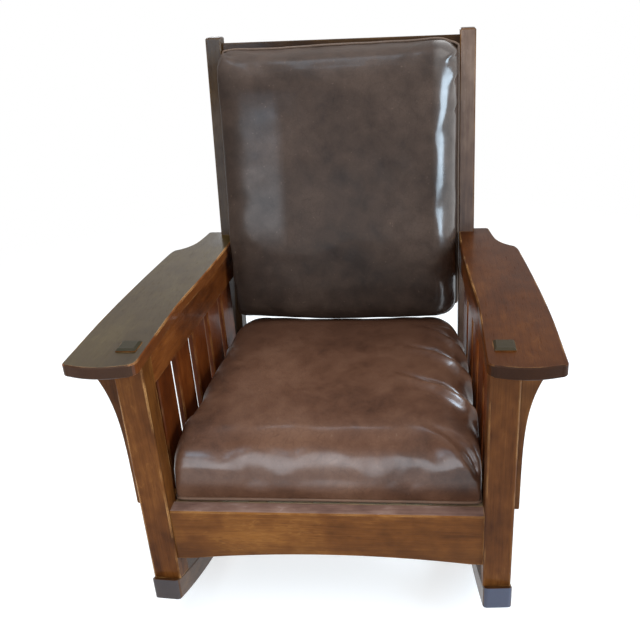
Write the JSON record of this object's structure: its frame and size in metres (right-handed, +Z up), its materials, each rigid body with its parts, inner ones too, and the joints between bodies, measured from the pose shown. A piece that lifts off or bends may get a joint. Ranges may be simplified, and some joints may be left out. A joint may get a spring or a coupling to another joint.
{
  "type": "rocking chair",
  "caption": "Slat-sided wooden rocking chair with wide flat arms, corbelled front posts, curved runners and loose leather seat and back cushions.",
  "frame": {"origin": "middle of the chair's footprint box, on the floor", "axes": "+Z up, -Y the way the chair faces, +X to the right as seen from the front"},
  "size_m": [0.8, 0.758, 1.0319],
  "materials": {
    "fumed_oak": "gloss",
    "plain_wood": "matte",
    "webbing": "matte",
    "leather": "satin",
    "stuffing": "matte"
  },
  "bodies": {
    "frame": {"runner_left": "fumed_oak", "runner_right": "fumed_oak", "front_post_left": "fumed_oak", "front_post_right": "fumed_oak", "rear_post_left": "fumed_oak", "rear_post_right": "fumed_oak", "front_seat_rail": "fumed_oak", "rear_seat_rail": "fumed_oak", "side_seat_rail_left": "fumed_oak", "side_seat_rail_right": "fumed_oak", "upper_side_rail_left": "fumed_oak", "upper_side_rail_right": "fumed_oak", "side_slat_left_1": "fumed_oak", "side_slat_left_2": "fumed_oak", "side_slat_left_3": "fumed_oak", "side_slat_left_4": "fumed_oak", "side_slat_left_5": "fumed_oak", "side_slat_right_1": "fumed_oak", "side_slat_right_2": "fumed_oak", "side_slat_right_3": "fumed_oak", "side_slat_right_4": "fumed_oak", "side_slat_right_5": "fumed_oak", "arm_left": "fumed_oak", "arm_right": "fumed_oak", "corbel_left": "fumed_oak", "corbel_right": "fumed_oak", "crest_rail": "fumed_oak", "back_lower_rail": "fumed_oak", "back_slat_1": "fumed_oak", "back_slat_2": "fumed_oak", "back_slat_3": "fumed_oak", "back_slat_4": "fumed_oak", "back_slat_5": "fumed_oak", "cleat_front": "plain_wood", "cleat_rear": "plain_wood", "cleat_left": "plain_wood", "cleat_right": "plain_wood", "corner_block_front_left": "plain_wood", "corner_block_front_right": "plain_wood", "corner_block_rear_left": "plain_wood", "corner_block_rear_right": "plain_wood", "deck_front": "plain_wood", "deck_rear": "plain_wood", "deck_left": "plain_wood", "deck_right": "plain_wood", "webbing_lengthwise": "webbing", "webbing_crosswise": "webbing"},
    "seat_pad": {"seat_cushion": "leather", "seat_cushion_core": "stuffing"},
    "back_pad": {"back_cushion": "leather", "back_cushion_core": "stuffing"}
  },
  "joints": [
    {"name": "seat_cushion_lift_out", "type": "slide", "parent": "frame", "child": "seat_pad", "axis": [0, -0.9976, 0.0698], "range_m": [0, 0.6]},
    {"name": "back_cushion_lift_out", "type": "slide", "parent": "frame", "child": "back_pad", "axis": [0, 0.1478, 0.989], "range_m": [0, 0.62]}
  ]
}
